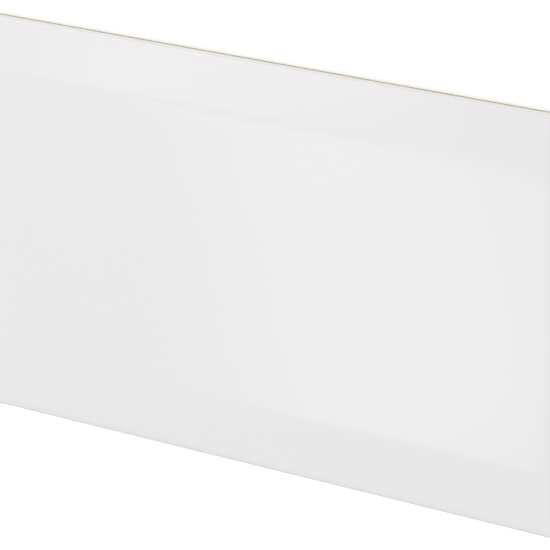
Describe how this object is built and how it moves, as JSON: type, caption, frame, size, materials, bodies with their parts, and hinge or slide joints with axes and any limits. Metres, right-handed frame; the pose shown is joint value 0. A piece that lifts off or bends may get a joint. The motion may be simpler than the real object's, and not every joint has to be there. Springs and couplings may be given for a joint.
{
  "type": "bevelled subway wall tile",
  "caption": "White glazed wall tile with a flat face, a wide shallow bevel on all four sides, mitred corners and a ribbed unglazed back.",
  "frame": {"origin": "middle of the tile's back, on the plane of the ribs that it rests on", "axes": "+X along the tile's length, +Y across its width, +Z out of the glazed face"},
  "size_m": [0.2, 0.1, 0.0065],
  "materials": {
    "glaze": "glossy white glaze",
    "biscuit": "bare fired earthenware, matt"
  },
  "bodies": {
    "root": {"tile": "glaze"}
  },
  "joints": []
}
